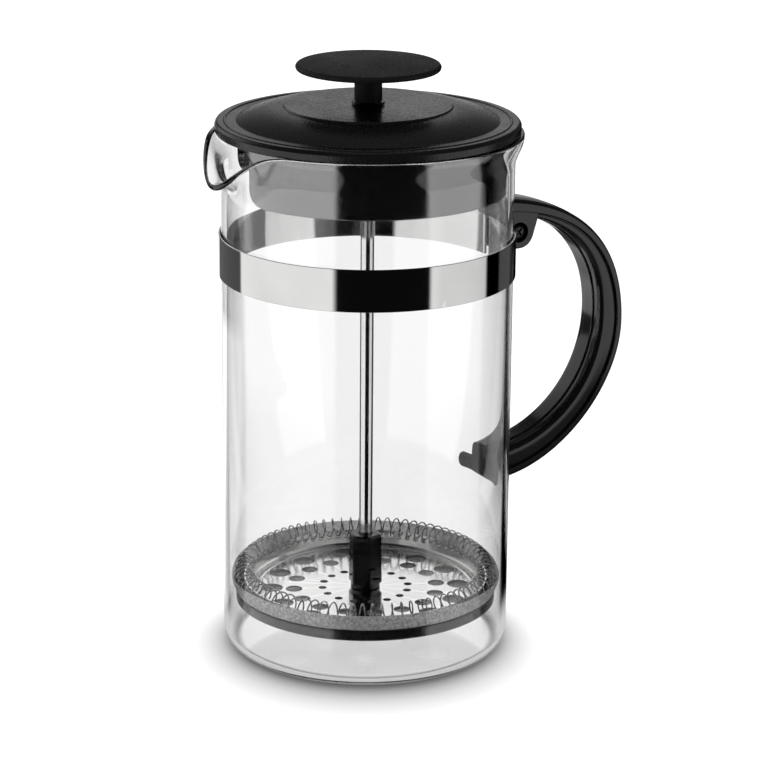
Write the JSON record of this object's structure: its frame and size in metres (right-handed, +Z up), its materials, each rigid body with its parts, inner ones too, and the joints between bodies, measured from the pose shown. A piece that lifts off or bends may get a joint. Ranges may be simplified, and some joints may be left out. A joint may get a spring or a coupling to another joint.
{
  "type": "french press coffee maker",
  "caption": "Cylindrical glass coffee press with a pulled spout, a steel band clamped to a curved plastic handle, and a turning lid with a spring-edged filter plunger.",
  "frame": {"origin": "centre of the beaker's flat foot, where it stands on the table", "axes": "+Z up along the beaker's axis, +X towards the handle, -X towards the spout"},
  "size_m": [0.1596, 0.1042, 0.204],
  "materials": {
    "clear_glass": "clear, polished",
    "band_steel": "mirror polished stainless",
    "handle_plastic": "gloss black",
    "screw_steel": "zinc plated",
    "bush_steel": "turned",
    "clip_steel": "sprung, dark",
    "matte_plastic_black": "fine grained matt black",
    "skirt_plastic": "semi-gloss black",
    "insert_brass": "turned",
    "rod_steel": "mirror polished stainless",
    "hub_plastic": "semi-gloss black",
    "plate_steel": "pressed stainless, bright",
    "spring_steel": "bright drawn wire",
    "mesh_steel": "fine woven stainless wire"
  },
  "bodies": {
    "carafe": {"glass_beaker": "clear_glass", "clamp_band": "band_steel", "handle": "handle_plastic", "clamp_screw": "screw_steel", "clamp_washer": "screw_steel", "clamp_nut": "screw_steel"},
    "guide": {"rod_bush": "bush_steel", "bush_clip": "clip_steel"},
    "lid": {"lid_cover": "matte_plastic_black", "lid_skirt": "skirt_plastic"},
    "plunger": {"plunger_knob": "matte_plastic_black", "knob_insert": "insert_brass", "plunger_rod": "rod_steel", "filter_hub": "hub_plastic", "hub_insert": "insert_brass", "spring_plate": "plate_steel", "rim_spring": "spring_steel", "mesh_disc": "mesh_steel", "support_plate": "hub_plastic", "support_nut": "screw_steel"}
  },
  "joints": [
    {"name": "lid_lift", "type": "slide", "parent": "carafe", "child": "guide", "axis": [0, 0, 1], "range_m": [0, 0.19]},
    {"name": "lid_turn", "type": "hinge", "parent": "guide", "child": "lid", "pos_m": [0, 0, 0.1803], "axis": [0, 0, 1], "continuous": true},
    {"name": "plunger_press", "type": "slide", "parent": "guide", "child": "plunger", "axis": [0, 0, 1], "range_m": [0, 0.13]}
  ]
}
